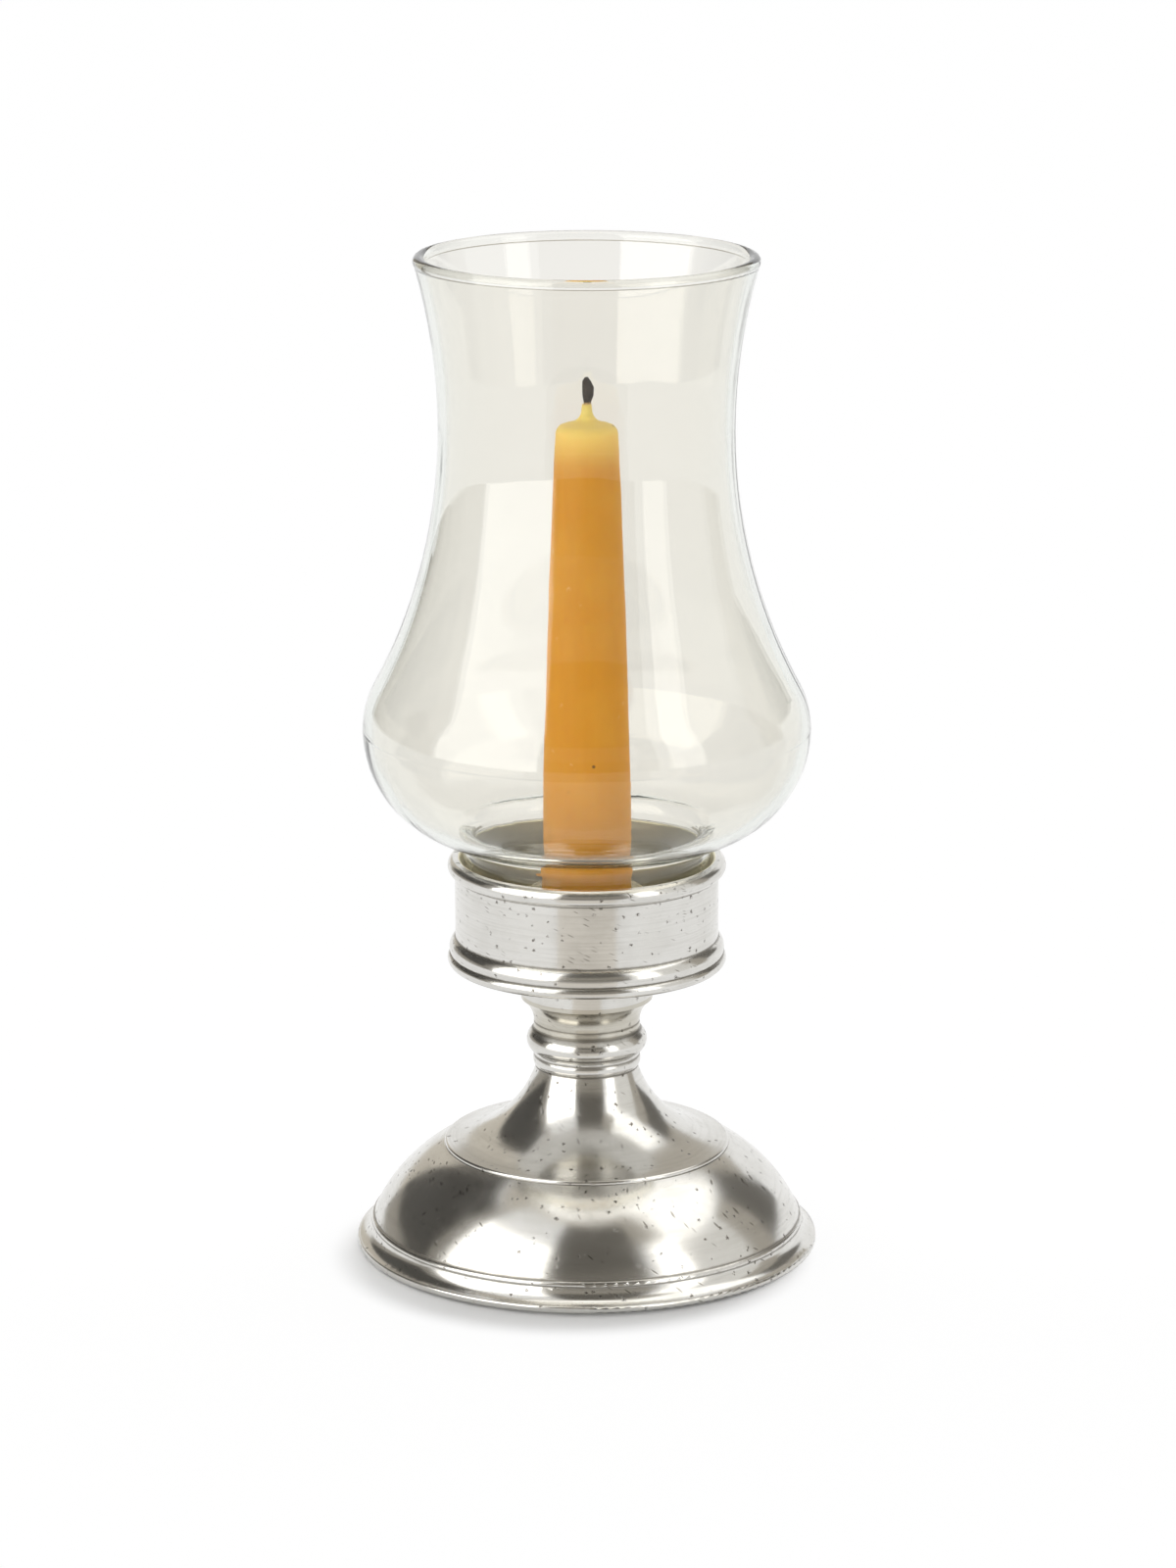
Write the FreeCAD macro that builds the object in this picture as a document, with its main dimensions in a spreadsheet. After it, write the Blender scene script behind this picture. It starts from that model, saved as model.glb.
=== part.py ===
import FreeCAD, Part
import math
import os
from types import SimpleNamespace

import Sketcher

# A hurricane candle lantern: a turned pewter stand, a blown glass chimney and a taper candle.
# Lengths are millimetres. Z runs up the axis of the stand and the table is at Z = 0.

SIZES = {
    # felt pad let into the underside of the foot
    "felt_thickness": 1.6,
    "felt_proud": 0.4,
    "felt_margin": 2.6,
    "felt_clearance": 0.1,
    # foot: a thin edge, a hollow flange, a bead and a low dome
    "foot_diameter": 115.4,
    "foot_height": 25.2,
    "foot_edge": 1.8,
    "foot_edge_round": 0.6,
    "foot_edge_swell": 0.2,
    "flange_width": 3.6,
    "flange_rise": 5.5,
    "flange_hollow": 0.7,
    "step_bead": 1.3,
    "step_projection": 0.6,
    "step_swell": 0.3,
    "dome_swell": 2.1,
    "foot_wall": 2.4,
    "crown_thickness": 3.0,
    "crown_margin": 0.3,
    "register_height": 1.2,
    # stem: a hollow trumpet standing on the dome
    "stem_height": 20.2,
    "stem_foot_diameter": 71.0,
    "stem_lip": 1.1,
    "stem_lip_step": 0.5,
    "stem_lip_swell": 0.35,
    "stem_top_diameter": 25.5,
    "stem_hollow": 4.3,
    "stem_ring": 7.4,
    "stem_inside_diameter": 23.0,
    "stem_inside_height": 14.0,
    "stem_inside_swell": 2.2,
    # spigots that centre the turned pieces on each other
    "spigot_diameter": 14.0,
    "spigot_length": 2.0,
    "spigot_clearance": 0.1,
    # knop between stem and neck
    "knop_height": 10.0,
    "knop_diameter": 30.0,
    "knop_reed_diameter": 26.4,
    "knop_reed_height": 2.8,
    "knop_reed_swell": 0.4,
    "knop_cove_height": 1.9,
    "knop_cove_hollow": 0.35,
    "knop_torus_height": 4.2,
    "knop_torus_swell": 0.75,
    "knop_top_diameter": 26.7,
    # neck between knop and gallery
    "neck_height": 8.8,
    "neck_diameter": 26.4,
    "neck_collar": 1.6,
    "neck_edge": 1.1,
    "neck_hollow": 0.83,
    # gallery: the cup that carries the chimney
    "gallery_height": 35.0,
    "gallery_wall": 1.3,
    "gallery_floor": 2.6,
    "gallery_hub_height": 3.2,
    "gallery_hub_wall": 2.4,
    "gallery_well_clearance": 0.8,
    "gallery_well_depth": 3.2,
    "gallery_under_rise": 8.0,
    "gallery_under_hollow": 0.3,
    "gallery_ledge_height": 11.0,
    "gallery_ledge_width": 4.0,
    "gallery_ledge_step": 2.0,
    "ring_height": 2.7,
    "ring_projection": 1.2,
    "ring_swell": 0.75,
    "ovolo_height": 4.2,
    "ovolo_swell": 0.75,
    "lip_height": 4.2,
    "lip_projection": 0.6,
    "lip_swell": 1.5,
    "lip_ease": 0.5,
    "lip_ease_swell": 0.15,
    # candle socket that clamps the gallery down
    "socket_height": 24.0,
    "socket_floor": 2.6,
    "socket_wall": 1.8,
    "socket_lip": 1.0,
    "socket_lip_height": 2.4,
    "socket_lip_edge": 0.8,
    "socket_lip_hollow": 0.3,
    # tie rod and its fixings in the hollow foot
    "rod_diameter": 6.0,
    "rod_clearance": 0.3,
    "rod_chamfer": 0.6,
    "rod_set_back": 0.3,
    "rod_end": 2.5,
    "thread_clearance": 0.05,
    "washer_diameter": 20.0,
    "washer_thickness": 1.6,
    "lock_diameter": 11.0,
    "lock_thickness": 1.5,
    "lock_slit": 0.8,
    "nut_across_flats": 10.0,
    "nut_thickness": 5.0,
    "nut_chamfer": 0.6,
    # glass chimney
    "chimney_height": 173.8,
    "chimney_wall": 2.2,
    "chimney_neck_diameter": 61.4,
    "chimney_clearance": 0.7,
    "chimney_shoulder": 3.0,
    "bulge_diameter": 110.4,
    # height above the rim of the gallery
    "bulge_height": 32.8,
    "bulge_under_curve": 28.0,
    "bulge_upper_curve": 22.15,
    "waist_diameter": 72.4,
    "waist_height": 131.7,
    "waist_upper_curve": 147.0,
    "rim_height": 2.4,
    # candle
    "candle_height": 138.7,
    "candle_diameter": 22.2,
    "candle_clearance": 0.3,
    "candle_chamfer": 0.8,
    "candle_straight": 30.0,
    "candle_top_diameter": 15.6,
    "candle_shoulder": 2.0,
    "candle_shoulder_swell": 0.55,
    "wax_cone_height": 4.6,
    "wax_cone_diameter": 5.4,
    "wax_cone_rise": 0.4,
    "wax_cone_hollow": 0.4,
    "wax_skin": 0.3,
    # wick
    "wick_diameter": 2.1,
    "wick_clearance": 0.05,
    # length above the cone of wax
    "wick_length": 6.7,
    "char_length": 5.6,
    "char_swell": 0.35,
}

doc = FreeCAD.newDocument("hurricane_lantern")
sheet = doc.addObject("Spreadsheet::Sheet", "Sizes")
for row, (alias, number) in enumerate(SIZES.items(), start=1):
    sheet.set(f"A{row}", alias)
    sheet.set(f"B{row}", str(number))
    sheet.setAlias(f"B{row}", alias)
doc.recompute()


class Length:
    """A number that remembers the sheet formula it comes from."""

    def __init__(self, value, formula):
        self.value = value
        self.formula = formula

    def __add__(self, other):
        other = length(other)
        return Length(self.value + other.value, f"({self.formula} + {other.formula})")

    def __sub__(self, other):
        other = length(other)
        return Length(self.value - other.value, f"({self.formula} - {other.formula})")

    def __mul__(self, other):
        other = length(other)
        return Length(self.value * other.value, f"({self.formula} * {other.formula})")

    def __truediv__(self, other):
        other = length(other)
        return Length(self.value / other.value, f"({self.formula} / {other.formula})")

    def __neg__(self):
        return Length(-self.value, f"(-{self.formula})")


def length(value):
    """Any number as a Length."""
    if isinstance(value, Length):
        return value
    return Length(float(value), str(float(value)))


def root(square):
    return Length(math.sqrt(square.value), f"sqrt({square.formula})")


class Bend:
    """An arc given by its radius, for faces that run smoothly into each other."""

    def __init__(self, radius):
        self.radius = radius

    def __neg__(self):
        return Bend(-self.radius)


def bend_radius(start, end, bend):
    """Radius of the arc between two corners; a bare length is the arc's rise above its chord."""
    if isinstance(bend, Bend):
        return bend.radius
    across, up = end[0] - start[0], end[1] - start[1]
    return ((across * across + up * up) / 4 + bend * bend) / (bend * 2)


size = SimpleNamespace(
    **{alias: Length(float(sheet.get(alias)), f"Sizes.{alias}") for alias in SIZES}
)


def plane_of(body, role):
    return next(feature for feature in body.Origin.OriginFeatures if feature.Role == role)


def new_body(label, base):
    """An empty body whose own Z = 0 stands at the height base above the table."""
    body = doc.addObject("PartDesign::Body", label)
    body.Label = label
    body.setExpression("Placement.Base.z", length(base).formula)
    return body


def new_sketch(body, name, role):
    sketch = body.newObject("Sketcher::SketchObject", name)
    sketch.AttachmentSupport = (plane_of(body, role), "")
    sketch.MapMode = "FlatFace"
    return sketch


def tie(sketch, name, constraint, value):
    """Add a sized constraint and bind it to the sheet."""
    index = sketch.addConstraint(constraint)
    sketch.renameConstraint(index, name)
    sketch.setExpression(f"Constraints.{name}", value.formula)


def short_arc(start, end, bend):
    """The arc of radius bend from start to end, with its centre on the left when bend is positive."""
    chord = end - start
    left = FreeCAD.Vector(-chord.y, chord.x, 0) / chord.Length
    reach = math.sqrt(bend**2 - (chord.Length / 2) ** 2)
    centre = (start + end) / 2 + left * math.copysign(reach, bend)
    circle = Part.Circle(centre, FreeCAD.Vector(0, 0, 1), abs(bend))
    first, last = (start, end) if bend > 0 else (end, start)
    angles = [math.atan2(point.y - centre.y, point.x - centre.x) for point in (first, last)]
    return Part.ArcOfCircle(circle, angles[0], angles[1])


def draw_outline(sketch, outline):
    """Draw a closed half section, anticlockwise, and tie each corner and arc to the sheet.

    A corner is (radius, height). A third value makes the edge that leads to it an arc: positive
    where the surface swells, negative where it is hollow.
    """
    corners = [(length(corner[0]), length(corner[1])) for corner in outline]
    points = [FreeCAD.Vector(radius.value, height.value, 0) for radius, height in corners]
    ends = []
    for index, corner in enumerate(outline):
        if len(corner) == 2:
            edge = sketch.addGeometry(Part.LineSegment(points[index - 1], points[index]))
            ends.append((edge, 1, 2))
            continue
        bend = bend_radius(corners[index - 1], corners[index], corner[2])
        edge = sketch.addGeometry(short_arc(points[index - 1], points[index], bend.value))
        ends.append((edge, 1, 2) if bend.value > 0 else (edge, 2, 1))
        size_of_bend = bend if bend.value > 0 else -bend
        radius = Sketcher.Constraint("Radius", edge, size_of_bend.value)
        tie(sketch, f"bend_{index}", radius, size_of_bend)
    for index, (radius, height) in enumerate(corners):
        edge, _, end = ends[index]
        following, start, _ = ends[(index + 1) % len(ends)]
        sketch.addConstraint(Sketcher.Constraint("Coincident", edge, end, following, start))
        if radius.value == 0:
            sketch.addConstraint(Sketcher.Constraint("PointOnObject", edge, end, -2))
        else:
            across = Sketcher.Constraint("DistanceX", -1, 1, edge, end, radius.value)
            tie(sketch, f"radius_{index}", across, radius)
        if height.value == 0:
            sketch.addConstraint(Sketcher.Constraint("PointOnObject", edge, end, -1))
        else:
            up = Sketcher.Constraint("DistanceY", -1, 1, edge, end, height.value)
            tie(sketch, f"height_{index}", up, height)


def spin(body, sketch, name):
    feature = body.newObject("PartDesign::Revolution", name)
    feature.Profile = sketch
    feature.ReferenceAxis = (sketch, ["V_Axis"])
    return feature


def turned(label, base, outline):
    """A piece turned about the stand's axis from one half section."""
    body = new_body(label, base)
    sketch = new_sketch(body, f"{label}_section", "XZ_Plane")
    draw_outline(sketch, outline)
    spin(body, sketch, f"{label}_turning")
    return body


# Heights at which the pieces stand on each other.
foot_base = size.felt_proud
stem_base = foot_base + size.foot_height
knop_base = stem_base + size.stem_height
neck_base = knop_base + size.knop_height
gallery_base = neck_base + size.neck_height
socket_base = gallery_base + size.gallery_floor
candle_base = socket_base + size.socket_floor
chimney_base = gallery_base + size.gallery_ledge_height
washer_base = stem_base - size.crown_thickness - size.washer_thickness
lock_base = washer_base - size.lock_thickness
nut_base = lock_base - size.nut_thickness
rod_base = nut_base - size.rod_end

# Radii that two or more pieces share.
rod_radius = size.rod_diameter / 2
rod_hole = rod_radius + size.rod_clearance
thread_hole = rod_radius + size.thread_clearance
spigot_radius = size.spigot_diameter / 2
spigot_hole = spigot_radius + size.spigot_clearance
spigot_depth = size.spigot_length + size.spigot_clearance
foot_radius = size.foot_diameter / 2
felt_radius = foot_radius - size.felt_margin
felt_recess = size.felt_thickness - size.felt_proud
stem_foot = size.stem_foot_diameter / 2
stem_top = size.stem_top_diameter / 2
stem_inside = stem_foot - size.stem_ring
chimney_neck = size.chimney_neck_diameter / 2
candle_radius = size.candle_diameter / 2
socket_bore = candle_radius + size.candle_clearance
socket_outside = socket_bore + size.socket_wall
gallery_well = socket_outside + size.gallery_well_clearance
gallery_hub = gallery_well + size.gallery_hub_wall
wick_radius = size.wick_diameter / 2


def felt_pad():
    return turned("felt_pad", 0, [
        (0, 0),
        (felt_radius, 0),
        (felt_radius, size.felt_thickness),
        (0, size.felt_thickness),
    ])


def foot():
    """Hollow casting: edge, hollow flange, bead and dome, with a flat crown under the stem."""
    edge_flat = foot_radius - size.foot_edge_round
    step = foot_radius - size.flange_width
    dome = step - size.step_projection
    dome_bottom = size.flange_rise + size.step_bead
    crown = stem_foot + size.crown_margin
    crown_under = size.foot_height - size.crown_thickness
    register = stem_inside - size.spigot_clearance
    register_top = size.foot_height + size.register_height
    return turned("foot", foot_base, [
        (felt_radius + size.felt_clearance, 0),
        (edge_flat, 0),
        (foot_radius, size.foot_edge_round, size.foot_edge_swell),
        (foot_radius, size.foot_edge - size.foot_edge_round),
        (edge_flat, size.foot_edge, size.foot_edge_swell),
        (step, size.flange_rise, -size.flange_hollow),
        (dome, dome_bottom, size.step_swell),
        (crown, size.foot_height, size.dome_swell),
        (register, size.foot_height),
        (register, register_top),
        (rod_hole, register_top),
        (rod_hole, crown_under),
        (crown - size.foot_wall, crown_under),
        (dome - size.foot_wall, dome_bottom, -size.dome_swell),
        (dome - size.foot_wall, felt_recess),
        (felt_radius + size.felt_clearance, felt_recess),
    ])


def stem():
    """Trumpet with a thin bead round its foot, hollow underneath."""
    top = size.stem_height
    seat = top - spigot_depth
    return turned("stem", stem_base, [
        (stem_inside, 0),
        (stem_foot, 0),
        (stem_foot - size.stem_lip_step, size.stem_lip, size.stem_lip_swell),
        (stem_top, top, -size.stem_hollow),
        (spigot_hole, top),
        (spigot_hole, seat),
        (rod_hole, seat),
        (rod_hole, size.stem_inside_height),
        (size.stem_inside_diameter / 2, size.stem_inside_height),
        (stem_inside, size.register_height + size.spigot_clearance, size.stem_inside_swell),
    ])


def knop():
    """Reed, cove and torus, spigoted into the stem."""
    seat = size.spigot_length
    top = seat + size.knop_height
    reed = size.knop_reed_diameter / 2
    reed_top = seat + size.knop_reed_height
    torus = size.knop_diameter / 2 - size.knop_torus_swell
    torus_bottom = reed_top + size.knop_cove_height
    torus_top = torus_bottom + size.knop_torus_height
    return turned("knop", knop_base - seat, [
        (rod_hole, 0),
        (spigot_radius, 0),
        (spigot_radius, seat),
        (stem_top, seat),
        (reed, reed_top, size.knop_reed_swell),
        (torus, torus_bottom, -size.knop_cove_hollow),
        (torus, torus_top, size.knop_torus_swell),
        (size.knop_top_diameter / 2, top),
        (spigot_hole, top),
        (spigot_hole, top - spigot_depth),
        (rod_hole, top - spigot_depth),
    ])


def neck():
    """Short flared neck with a spigot at each end."""
    seat = size.spigot_length
    top = seat + size.neck_height
    waist = size.neck_diameter / 2
    return turned("neck", neck_base - seat, [
        (rod_hole, 0),
        (spigot_radius, 0),
        (spigot_radius, seat),
        (size.knop_top_diameter / 2, seat),
        (waist, seat + size.neck_collar),
        (gallery_hub, top - size.neck_edge, -size.neck_hollow),
        (gallery_hub, top),
        (spigot_radius, top),
        (spigot_radius, top + size.spigot_length),
        (rod_hole, top + size.spigot_length),
    ])


def gallery():
    """Cup on a short hub, with a double moulding, a rolled lip and a ledge for the glass."""
    bore = chimney_neck + size.chimney_clearance
    wall = bore + size.gallery_wall
    ring = wall + size.ring_projection
    ring_top = size.gallery_under_rise + size.ring_height
    wall_bottom = ring_top + size.ovolo_height
    top = size.gallery_height
    lip_bottom = top - size.lip_height
    ledge = bore - size.gallery_ledge_width
    dish_top = size.gallery_ledge_height - size.gallery_ledge_step
    well_top = size.gallery_floor + size.gallery_well_depth
    return turned("gallery", gallery_base, [
        (spigot_hole, 0),
        (gallery_hub, 0),
        (gallery_hub, size.gallery_hub_height),
        (ring, size.gallery_under_rise, -size.gallery_under_hollow),
        (ring, ring_top, size.ring_swell),
        (wall, wall_bottom, size.ovolo_swell),
        (wall, lip_bottom),
        (wall + size.lip_projection, top, size.lip_swell),
        (bore + size.lip_ease, top),
        (bore, top - size.lip_ease, size.lip_ease_swell),
        (bore, size.gallery_ledge_height),
        (ledge, size.gallery_ledge_height),
        (ledge, dish_top),
        (gallery_well, well_top),
        (gallery_well, size.gallery_floor),
        (spigot_hole, size.gallery_floor),
    ])


def candle_socket():
    """Cup for the candle; its floor is tapped for the tie rod."""
    lip = socket_outside + size.socket_lip
    top = size.socket_height
    return turned("candle_socket", socket_base, [
        (thread_hole, 0),
        (socket_outside, 0),
        (socket_outside, top - size.socket_lip_height),
        (lip, top - size.socket_lip_edge, -size.socket_lip_hollow),
        (lip, top),
        (socket_bore, top),
        (socket_bore, size.socket_floor),
        (thread_hole, size.socket_floor),
    ])


def tie_rod():
    """Rod from the tapped floor of the socket down through the stack to the nut."""
    top = candle_base - size.rod_set_back - rod_base
    waist = rod_radius - size.rod_chamfer
    return turned("tie_rod", rod_base, [
        (0, 0),
        (waist, 0),
        (rod_radius, size.rod_chamfer),
        (rod_radius, top - size.rod_chamfer),
        (waist, top),
        (0, top),
    ])


def ring(label, base, hole, outside, thickness):
    return turned(label, base, [
        (hole, 0),
        (outside, 0),
        (outside, thickness),
        (hole, thickness),
    ])


def tie_washer():
    return ring("tie_washer", washer_base, rod_hole, size.washer_diameter / 2, size.washer_thickness)


def lock_washer():
    """Spring washer, clamped flat, with its slit."""
    body = ring("lock_washer", lock_base, rod_hole, size.lock_diameter / 2, size.lock_thickness)
    slit = body.newObject("PartDesign::SubtractiveBox", "lock_slit_cut")
    slit.AttachmentSupport = (plane_of(body, "XY_Plane"), "")
    slit.MapMode = "FlatFace"
    slit.setExpression("Length", (size.lock_diameter / 2).formula)
    slit.setExpression("Width", size.lock_slit.formula)
    slit.setExpression("Height", size.lock_thickness.formula)
    slit.setExpression("AttachmentOffset.Base.y", (-size.lock_slit / 2).formula)
    return body


def tie_nut():
    """Hexagon nut, eased at the corners of its lower face."""
    body = new_body("tie_nut", nut_base)
    corner = size.nut_across_flats / math.sqrt(3)
    hexagon = body.newObject("PartDesign::AdditivePrism", "nut_hexagon")
    hexagon.AttachmentSupport = (plane_of(body, "XY_Plane"), "")
    hexagon.MapMode = "FlatFace"
    hexagon.Polygon = 6
    hexagon.setExpression("Circumradius", corner.formula)
    hexagon.setExpression("Height", size.nut_thickness.formula)
    bore = body.newObject("PartDesign::SubtractiveCylinder", "nut_bore")
    bore.AttachmentSupport = (plane_of(body, "XY_Plane"), "")
    bore.MapMode = "FlatFace"
    bore.setExpression("Radius", thread_hole.formula)
    bore.setExpression("Height", size.nut_thickness.formula)
    easing = new_sketch(body, "nut_easing_section", "XZ_Plane")
    reach = corner + size.nut_chamfer
    draw_outline(easing, [
        (corner - size.nut_chamfer * 1.8, 0),
        (reach, 0),
        (reach, size.nut_chamfer * 1.6),
    ])
    cut = body.newObject("PartDesign::Groove", "nut_easing")
    cut.Profile = easing
    cut.ReferenceAxis = (easing, ["V_Axis"])
    return body


def glass_side(depth, top):
    """Corners of the glass from foot to rim, at a depth under its outer face: tangent arcs all the way."""
    bulge = size.bulge_diameter / 2
    waist = size.waist_diameter / 2
    under, fillet = size.bulge_under_curve, size.chimney_shoulder
    upper = size.waist_upper_curve
    # the small hollow between the neck and the underside of the bulb
    under_centre = bulge - under
    fillet_centre = chimney_neck + fillet
    across = fillet_centre - under_centre
    drop = root((under + fillet) * (under + fillet) - across * across)
    meet = (under - depth) / (under + fillet)
    gallery_rim = size.gallery_height - size.gallery_ledge_height
    bulge_height = gallery_rim + size.bulge_height
    # the upper half of the bulb, which runs into the hollow side below the waist
    rise = size.waist_height - bulge_height
    narrowing = bulge - waist
    both_radii = (rise * rise + narrowing * narrowing) / (narrowing * 2)
    bulb = size.bulge_upper_curve
    lower = both_radii - bulb
    turn = (bulb - depth) / both_radii
    flare = (upper + depth) * (upper + depth) - (top - size.waist_height) * (top - size.waist_height)
    return [
        (chimney_neck - depth, 0),
        (chimney_neck - depth, bulge_height - drop),
        (under_centre + across * meet, bulge_height - drop * meet, Bend(-(fillet + depth))),
        (bulge - depth, bulge_height, Bend(under - depth)),
        (
            bulge - bulb + (both_radii - narrowing) * turn,
            bulge_height + rise * turn,
            Bend(bulb - depth),
        ),
        (waist - depth, size.waist_height, Bend(-(lower + depth))),
        (waist + upper - root(flare), top, Bend(-(upper + depth))),
    ]


def backwards(corners):
    """The same run of corners walked the other way, as the inner face of a wall."""
    back = []
    for corner, later in zip(corners[::-1], [()] + corners[:0:-1]):
        bend = [-later[2]] if len(later) == 3 else []
        back.append((corner[0], corner[1], *bend))
    return back


def glass_chimney():
    """Blown chimney: straight neck, full bulb, drawn-in waist, flared mouth with a rolled rim."""
    rim_bottom = size.chimney_height - size.rim_height
    outside = glass_side(length(0), rim_bottom)
    inside = glass_side(size.chimney_wall, rim_bottom)
    rim_middle = (outside[-1][0] + inside[-1][0]) / 2
    half_wall = outside[-1][0] - rim_middle
    bead = (half_wall * half_wall + size.rim_height * size.rim_height) / (size.rim_height * 2)
    rim = [
        (rim_middle, size.chimney_height, Bend(bead)),
        (inside[-1][0], rim_bottom, Bend(bead)),
    ]
    return turned("glass_chimney", chimney_base, outside + rim + backwards(inside)[1:])


def candle():
    """Taper with rounded shoulders and a little cone of wax drawn up round the wick."""
    hole = wick_radius + size.wick_clearance
    top = size.candle_height
    narrow = size.candle_top_diameter / 2
    shoulder_height = top - size.candle_shoulder
    taper_rise = shoulder_height - size.candle_straight
    taper = candle_radius - narrow
    taper_curve = (taper_rise * taper_rise + taper * taper) / (taper * 2)
    cone_top = top + size.wax_cone_height
    return turned("candle", candle_base, [
        (hole, 0),
        (candle_radius - size.candle_chamfer, 0),
        (candle_radius, size.candle_chamfer),
        (candle_radius, size.candle_straight),
        (narrow, shoulder_height, Bend(taper_curve)),
        (narrow - size.candle_shoulder, top, size.candle_shoulder_swell),
        (size.wax_cone_diameter / 2, top + size.wax_cone_rise),
        (hole + size.wax_skin, cone_top, -size.wax_cone_hollow),
        (hole, cone_top),
    ])


def wick():
    """Braided wick through the whole candle, with a swollen, charred tip."""
    top = size.candle_height + size.wax_cone_height + size.wick_length
    char_bottom = top - size.char_length
    tip = wick_radius / 2
    char_waist = top - (wick_radius - tip)
    return turned("wick", candle_base, [
        (0, 0),
        (wick_radius, 0),
        (wick_radius, char_bottom),
        (wick_radius, char_waist, size.char_swell),
        (tip, top),
        (0, top),
    ])


PIECES = (
    felt_pad, foot, stem, knop, neck, gallery, candle_socket,
    tie_rod, tie_washer, lock_washer, tie_nut,
    glass_chimney, candle, wick,
)

bodies = [piece() for piece in PIECES]
doc.recompute()

for item in doc.Objects:
    if "Invalid" in item.State or "Error" in item.State:
        raise RuntimeError(f"{item.Label} failed: {item.State}")
for body in bodies:
    if body.Shape.isNull() or not body.Shape.isValid() or len(body.Shape.Solids) != 1:
        raise RuntimeError(f"{body.Label} is not one sound solid")

os.makedirs("parts", exist_ok=True)
for body in bodies:
    box = body.Shape.optimalBoundingBox(False)
    print(f"{body.Label:14s} {body.Shape.Volume / 1000:8.2f} cm3   z {box.ZMin:7.2f} to {box.ZMax:7.2f}"
          f"   width {box.XLength:6.2f}")
    body.Shape.exportStep(f"parts/{body.Label}.step")
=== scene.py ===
import math

import bmesh
import bpy
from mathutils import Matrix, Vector

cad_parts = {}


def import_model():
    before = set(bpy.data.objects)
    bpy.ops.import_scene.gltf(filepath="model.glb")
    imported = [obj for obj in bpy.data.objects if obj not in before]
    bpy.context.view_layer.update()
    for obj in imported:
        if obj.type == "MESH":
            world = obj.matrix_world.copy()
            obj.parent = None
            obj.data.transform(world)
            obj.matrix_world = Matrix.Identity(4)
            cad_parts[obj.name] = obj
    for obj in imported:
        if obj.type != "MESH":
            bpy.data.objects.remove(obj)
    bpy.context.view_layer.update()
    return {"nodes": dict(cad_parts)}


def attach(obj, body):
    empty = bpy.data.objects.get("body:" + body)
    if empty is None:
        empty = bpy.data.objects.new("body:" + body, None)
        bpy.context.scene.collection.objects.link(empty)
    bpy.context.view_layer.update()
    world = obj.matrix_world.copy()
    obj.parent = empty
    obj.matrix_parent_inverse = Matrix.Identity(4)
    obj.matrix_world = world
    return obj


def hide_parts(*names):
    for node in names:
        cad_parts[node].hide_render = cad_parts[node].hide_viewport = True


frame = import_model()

# A hurricane candle lantern: turned pewter stand, clear glass chimney, beeswax taper.
# Shapes and patterns are in millimetres, as on a drawing; the scene itself is in metres.
MM = 0.001
SAME_POINT = 1e-6
WHITE = (1, 1, 1, 1)

nodes = frame["nodes"]


class Graph:
    """A thin wrapper that adds nodes to a tree and links or fills their sockets."""

    def __init__(self, tree):
        self.tree = tree

    def put(self, socket, value):
        if isinstance(value, bpy.types.NodeSocket):
            self.tree.links.new(value, socket)
        else:
            socket.default_value = value

    def node(self, kind, inputs=None, **settings):
        node = self.tree.nodes.new(kind)
        for name, value in settings.items():
            setattr(node, name, value)
        for key, value in (inputs or {}).items():
            self.put(node.inputs[key], value)
        return node

    def math(self, operation, a, b=0.0, c=0.0, clamp=False):
        node = self.node("ShaderNodeMath", {0: a, 1: b, 2: c}, operation=operation, use_clamp=clamp)
        return node.outputs[0]

    def plus(self, a, b):
        return self.math("ADD", a, b)

    def minus(self, a, b):
        return self.math("SUBTRACT", a, b)

    def times(self, a, b):
        return self.math("MULTIPLY", a, b)

    def remap(self, value, low, high, to_low=0.0, to_high=1.0):
        node = self.node("ShaderNodeMapRange", {0: value, 1: low, 2: high, 3: to_low, 4: to_high},
                         interpolation_type="SMOOTHSTEP")
        return node.outputs[0]

    def mix(self, factor, a, b):
        return self.node("ShaderNodeMix", {0: factor, 6: a, 7: b}, data_type="RGBA").outputs[2]

    def vector(self, x, y, z=0.0):
        return self.node("ShaderNodeCombineXYZ", {0: x, 1: y, 2: z}).outputs[0]

    def split(self, vector):
        return self.node("ShaderNodeSeparateXYZ", {0: vector}).outputs[:]

    def channel(self, colour, index):
        return self.node("ShaderNodeSeparateColor", {0: colour}).outputs[index]

    def noise(self, vector, scale, detail=2.0, roughness=0.5):
        node = self.node("ShaderNodeTexNoise", {"Vector": vector, "Scale": scale, "Detail": detail,
                                                "Roughness": roughness})
        return node.outputs[0]

    def cells(self, vector, scale):
        """Scattered cells: the outputs Distance, from each middle, and Color, one for each cell."""
        node = self.node("ShaderNodeTexVoronoi", {"Vector": vector, "Scale": scale, "Randomness": 1.0})
        return node.outputs

    def bump(self, height, strength, distance):
        node = self.node("ShaderNodeBump", {"Height": height, "Strength": strength, "Distance": distance})
        return node.outputs[0]


def new_object(name, data):
    """An object with this data, in the scene."""
    made = bpy.data.objects.new(name, data)
    bpy.context.scene.collection.objects.link(made)
    return made


def new_group(name, outputs, inputs):
    """An empty shader group with the named float sockets, and the graph to fill it."""
    tree = bpy.data.node_groups.new(name, "ShaderNodeTree")
    for label, default in inputs:
        made = tree.interface.new_socket(label, in_out="INPUT", socket_type="NodeSocketFloat")
        made.default_value = default
    for label in outputs:
        tree.interface.new_socket(label, in_out="OUTPUT", socket_type="NodeSocketFloat")
    graph = Graph(tree)
    return graph, graph.node("NodeGroupInput"), graph.node("NodeGroupOutput")


def object_point(graph):
    """Object coordinates in millimetres."""
    raw = graph.node("ShaderNodeTexCoord").outputs["Object"]
    return graph.node("ShaderNodeVectorMath", {0: raw, "Scale": 1 / MM}, operation="SCALE").outputs[0]


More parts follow.
